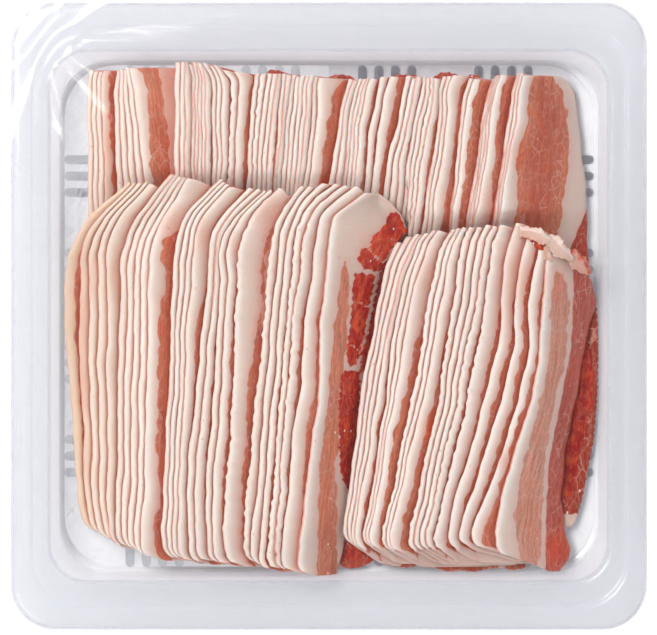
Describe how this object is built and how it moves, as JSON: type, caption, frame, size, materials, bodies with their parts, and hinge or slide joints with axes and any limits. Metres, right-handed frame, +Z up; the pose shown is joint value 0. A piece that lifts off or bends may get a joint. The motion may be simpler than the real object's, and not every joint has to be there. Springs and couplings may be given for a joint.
{
  "type": "tray of sliced pork belly",
  "caption": "Square clear tray of thin raw pork belly slices in shingled piles, sealed with a clear lid film.",
  "frame": {"origin": "middle of the tray's flat underside", "axes": "+X to the right along the shingled piles, from the first slice to the top one; +Y to the back; +Z up"},
  "size_m": [0.2987, 0.2946, 0.0428],
  "materials": {
    "tray_plastic": "clear, slightly milky thermoformed sheet",
    "lid_film": "thin clear glossy film",
    "meat_fat": "moist pale fat edges",
    "meat_lean": "moist raw lean meat with fat bands"
  },
  "bodies": {
    "root": {"tray": "tray_plastic", "lid_film": "lid_film", "back_pile": "meat_fat", "left_pile": "meat_fat", "right_pile": "meat_fat", "back_top_slice": "meat_lean", "left_top_slice": "meat_lean", "right_top_slice": "meat_lean", "right_under_slice": "meat_lean", "front_under_slice": "meat_lean", "folded_scrap": "meat_lean"}
  },
  "joints": []
}
